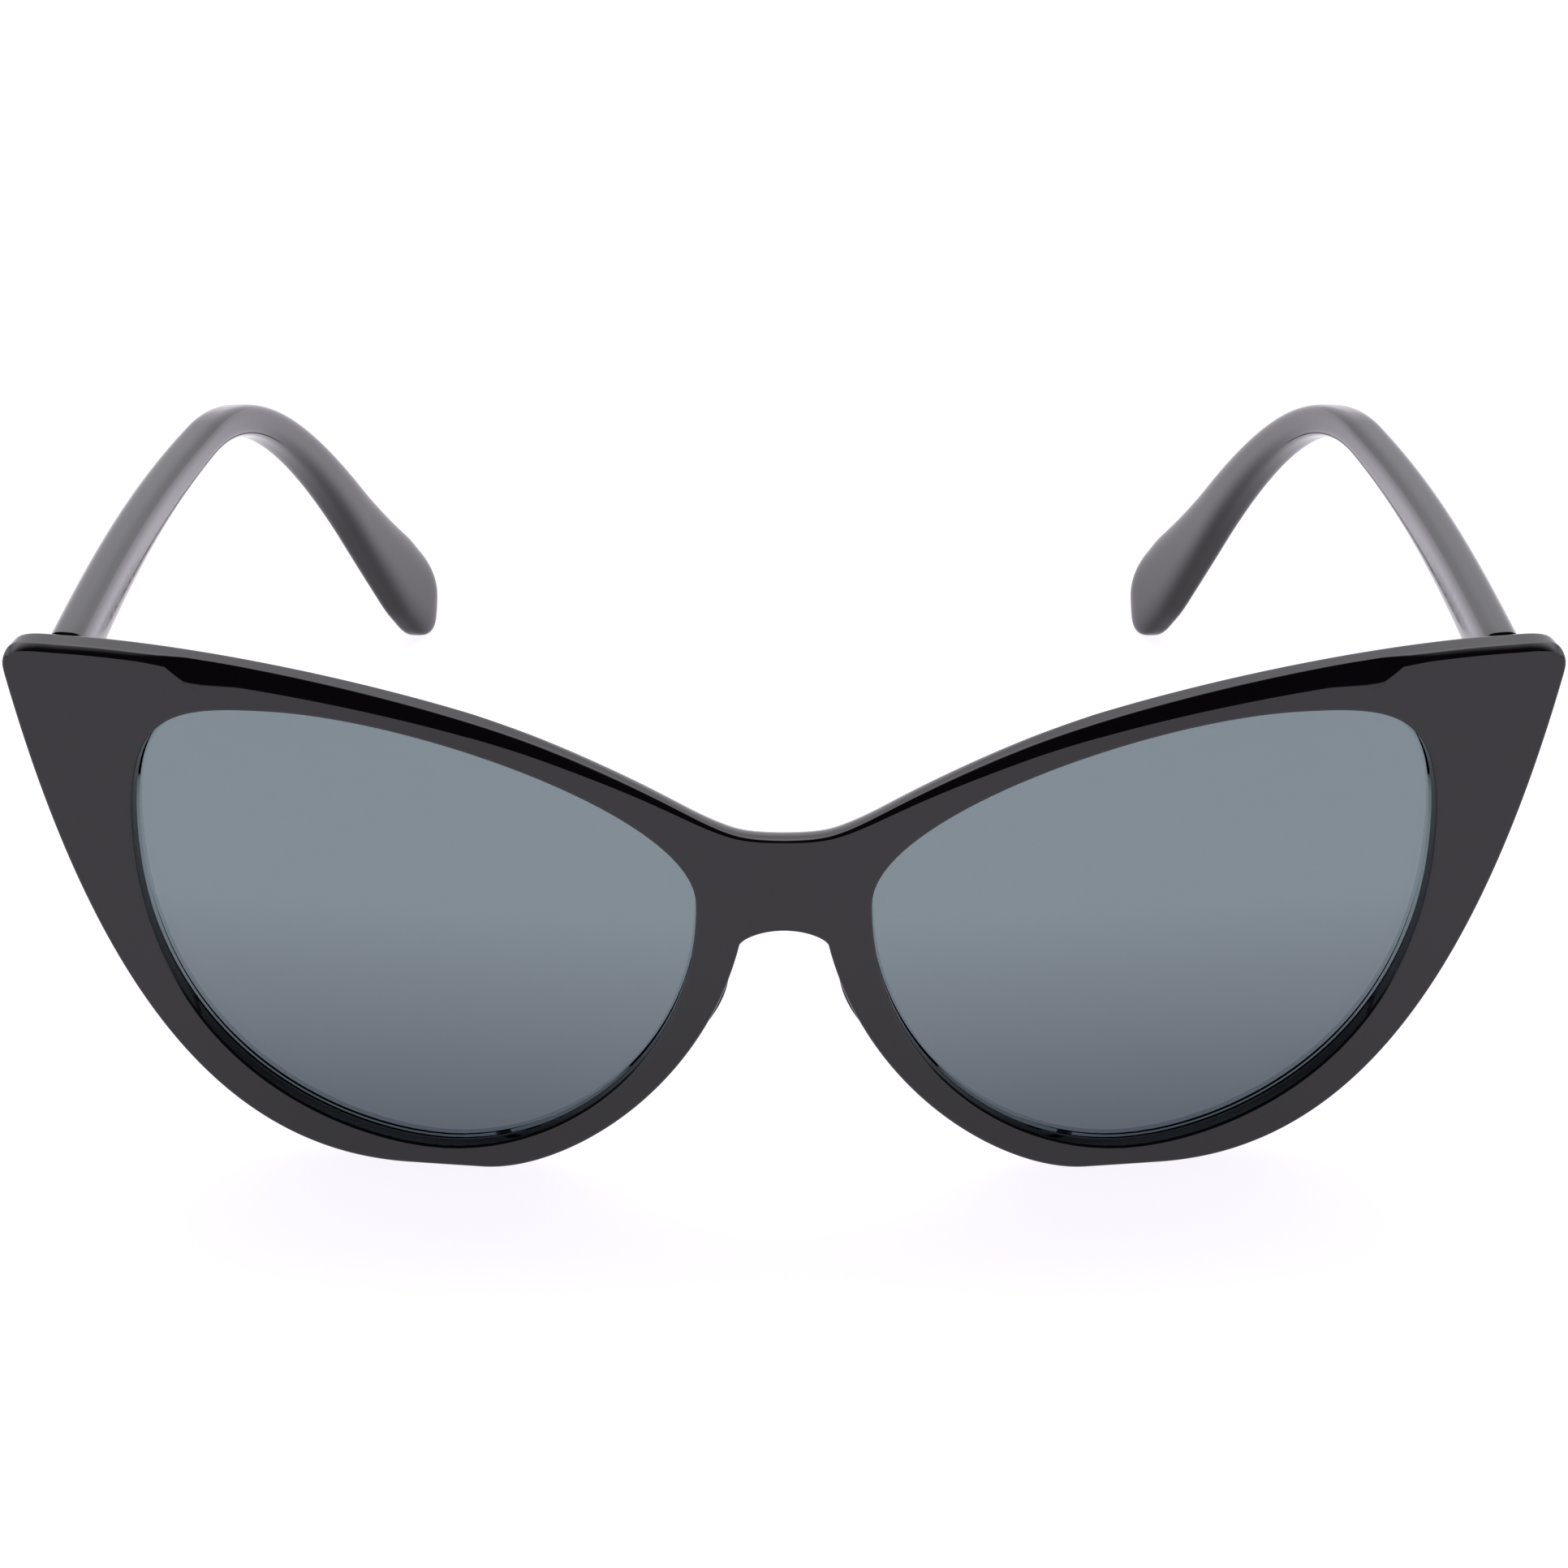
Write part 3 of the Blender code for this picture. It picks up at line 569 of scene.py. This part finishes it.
def acetate(name, dark, light, smooth, rough, ior):
    """Polished black acetate: faint clouding in the colour, hairline handling marks."""
    result, tree, shader = principled(name)
    cloud = noise(tree, 90, 3)
    ramp = tree.nodes.new("ShaderNodeValToRGB")
    ramp.color_ramp.elements[0].color = (*dark, 1)
    ramp.color_ramp.elements[1].color = (*light, 1)
    tree.links.new(cloud.outputs["Fac"], ramp.inputs["Fac"])
    tree.links.new(ramp.outputs["Color"], shader.inputs["Base Color"])
    marks = noise(tree, 900, 6)
    tree.links.new(spread(tree, marks.outputs["Fac"], smooth, rough), shader.inputs["Roughness"])
    orange_peel = noise(tree, 220, 2)
    bump(tree, shader, orange_peel.outputs["Fac"], 0.02, 0.00002)
    shader.inputs["IOR"].default_value = ior
    return result


def smoke_lens(name):
    """A tinted polished lens whose tint darkens towards its lower rim: painted shade standing in for the
    shadowed floor seen through it.
    """
    result, tree, shader = principled(name)
    source = tree.nodes.new("ShaderNodeTexCoord")
    parts = tree.nodes.new("ShaderNodeSeparateXYZ")
    tree.links.new(source.outputs["Generated"], parts.inputs["Vector"])
    # The lens's own smoke tint from bottom to top; the darker lower part is painted shade, not a real
    # gradient in the tint.
    ramp = tree.nodes.new("ShaderNodeValToRGB")
    ramp.color_ramp.elements[0].color = (0.066, 0.081, 0.097, 1)
    ramp.color_ramp.elements[1].color = (0.159, 0.202, 0.212, 1)
    ramp.color_ramp.elements[1].position = 0.55
    tree.links.new(parts.outputs["Z"], ramp.inputs["Fac"])
    tree.links.new(ramp.outputs["Color"], shader.inputs["Base Color"])
    wipe = noise(tree, 40, 3)
    tree.links.new(spread(tree, wipe.outputs["Fac"], 0.0, 0.02), shader.inputs["Roughness"])
    shader.inputs["Transmission Weight"].default_value = 1.0
    shader.inputs["IOR"].default_value = 1.5
    return result


def metal(name, low, high, smooth, rough, scale):
    """Steel with fine wear in its tone, gloss and surface."""
    result, tree, shader = principled(name)
    wear = noise(tree, scale, 5)
    ramp = tree.nodes.new("ShaderNodeValToRGB")
    ramp.color_ramp.elements[0].color = (*low, 1)
    ramp.color_ramp.elements[1].color = (*high, 1)
    tree.links.new(wear.outputs["Fac"], ramp.inputs["Fac"])
    tree.links.new(ramp.outputs["Color"], shader.inputs["Base Color"])
    tree.links.new(spread(tree, wear.outputs["Fac"], smooth, rough), shader.inputs["Roughness"])
    bump(tree, shader, wear.outputs["Fac"], 0.05, 0.00002)
    shader.inputs["Metallic"].default_value = 1.0
    return result


def dress_nodes(surface, *names):
    """Gives carried-over nodes their material."""
    for name in names:
        node = NODES[name]
        node.data.materials.clear()
        node.data.materials.append(surface)


# Set

def build_floor():
    """A plain white floor, lit from below as a light table is."""
    bm = bmesh.new()
    bmesh.ops.create_grid(bm, x_segments=1, y_segments=1, size=6)
    mesh = bpy.data.meshes.new("floor")
    bm.to_mesh(mesh)
    bm.free()
    floor = bpy.data.objects.new("floor", mesh)
    bpy.context.scene.collection.objects.link(floor)
    surface, tree, shader = principled("white_floor")
    grain = noise(tree, 3, 2)
    tree.links.new(spread(tree, grain.outputs["Fac"], 0.85, 0.95), shader.inputs["Roughness"])
    shader.inputs["Base Color"].default_value = (0.4, 0.39, 0.42, 1)
    shader.inputs["Specular IOR Level"].default_value = 0.0
    shader.inputs["Emission Color"].default_value = (0.95, 0.92, 0.99, 1)
    shader.inputs["Emission Strength"].default_value = 0.98
    mesh.materials.append(surface)


def build_world():
    """Even white light from all round, but for a dark part of the room above the front."""
    world = bpy.data.worlds.new("studio")
    bpy.context.scene.world = world
    world.use_nodes = True
    tree = world.node_tree
    background = tree.nodes["Background"]
    source = tree.nodes.new("ShaderNodeTexCoord")
    parts = tree.nodes.new("ShaderNodeSeparateXYZ")
    tree.links.new(source.outputs["Generated"], parts.inputs["Vector"])

    def step(output, start, end):
        node = tree.nodes.new("ShaderNodeMapRange")
        node.interpolation_type = "SMOOTHSTEP"
        node.inputs["From Min"].default_value = start
        node.inputs["From Max"].default_value = end
        tree.links.new(output, node.inputs["Value"])
        return node.outputs["Result"]

    def mix(factor, off, on):
        node = tree.nodes.new("ShaderNodeMix")
        node.data_type = "RGBA"
        for name, value in (("A", off), ("B", on)):
            if isinstance(value, tuple):
                node.inputs[name].default_value = (*value, 1)
            else:
                tree.links.new(value, node.inputs[name])
        tree.links.new(factor, node.inputs["Factor"])
        return node.outputs["Result"]

    def product(first, second):
        node = tree.nodes.new("ShaderNodeMath")
        node.operation = "MULTIPLY"
        tree.links.new(first, node.inputs[0])
        tree.links.new(second, node.inputs[1])
        return node.outputs[0]

    overhead = step(parts.outputs["Z"], 0.42, 0.75)
    dark = product(step(parts.outputs["Y"], 0.45, 0.15), step(parts.outputs["Z"], 0.08, 0.25))
    light = mix(overhead, (0.98, 0.96, 1.02), (2.6, 2.55, 2.7))
    light = mix(dark, light, (0.01, 0.01, 0.011))
    tree.links.new(light, background.inputs["Color"])


def build_camera():
    """A view from in front and above, on the middle."""
    distance, elevation, focal = 0.400, radians(24.6), 96.9
    target = Vector((0, FRONT_Y * MM, 0.0433))
    data = bpy.data.cameras.new("camera")
    data.lens = focal
    data.sensor_width = 36
    data.clip_start = 0.01
    camera = bpy.data.objects.new("camera", data)
    bpy.context.scene.collection.objects.link(camera)
    back = Vector((0, -cos(elevation), sin(elevation)))
    camera.location = target + distance * back
    camera.rotation_euler = (radians(90) - elevation, 0, 0)
    bpy.context.scene.camera = camera


# Acetates and metals: darkest and lightest colour, smoothest and roughest, then IOR or the scale of wear
front_tones = (0.0035, 0.0025, 0.004), (0.0065, 0.005, 0.0075)
front_surface = acetate("front_acetate", *front_tones, 0.03, 0.07, 1.48)
temple_tones = (0.003, 0.0025, 0.0035), (0.007, 0.006, 0.008)
temple_surface = acetate("temple_acetate", *temple_tones, 0.08, 0.14, 1.47)
pad_tones = (0.007, 0.0065, 0.0075), (0.012, 0.011, 0.013)
pad_surface = acetate("pad_acetate", *pad_tones, 0.12, 0.2, 1.5)
lens_surface = smoke_lens("smoke_lens")
leaf_surface = metal("hinge_steel", (0.42, 0.41, 0.39), (0.62, 0.61, 0.58), 0.22, 0.42, 1500)
screw_surface = metal("screw_steel", (0.5, 0.5, 0.5), (0.68, 0.68, 0.69), 0.12, 0.3, 2500)
wire_surface = metal("core_wire", (0.4, 0.4, 0.41), (0.55, 0.55, 0.56), 0.3, 0.45, 2000)

build_front(front_surface)
for word, side in SIDES.items():
    build_lens("tinted_lens_" + word, side, lens_surface, "lens_" + word)
    build_nose_pad("pad_" + word, side, pad_surface, "nose_pad_" + word)
    build_temple("arm_" + word, side, temple_surface, word + "_temple", "temple_" + word)
    dress_nodes(leaf_surface, "front_hinge_leaf_" + word, "temple_hinge_leaf_" + word)
    dress_nodes(screw_surface, "hinge_screw_" + word, "hinge_nut_" + word)
    dress_nodes(screw_surface, *[f"leaf_screw_{word}_{number}" for number in (1, 2)])
    dress_nodes(wire_surface, "temple_core_wire_" + word)
build_floor()
build_world()
build_camera()
bpy.context.scene.view_settings.view_transform = "Standard"
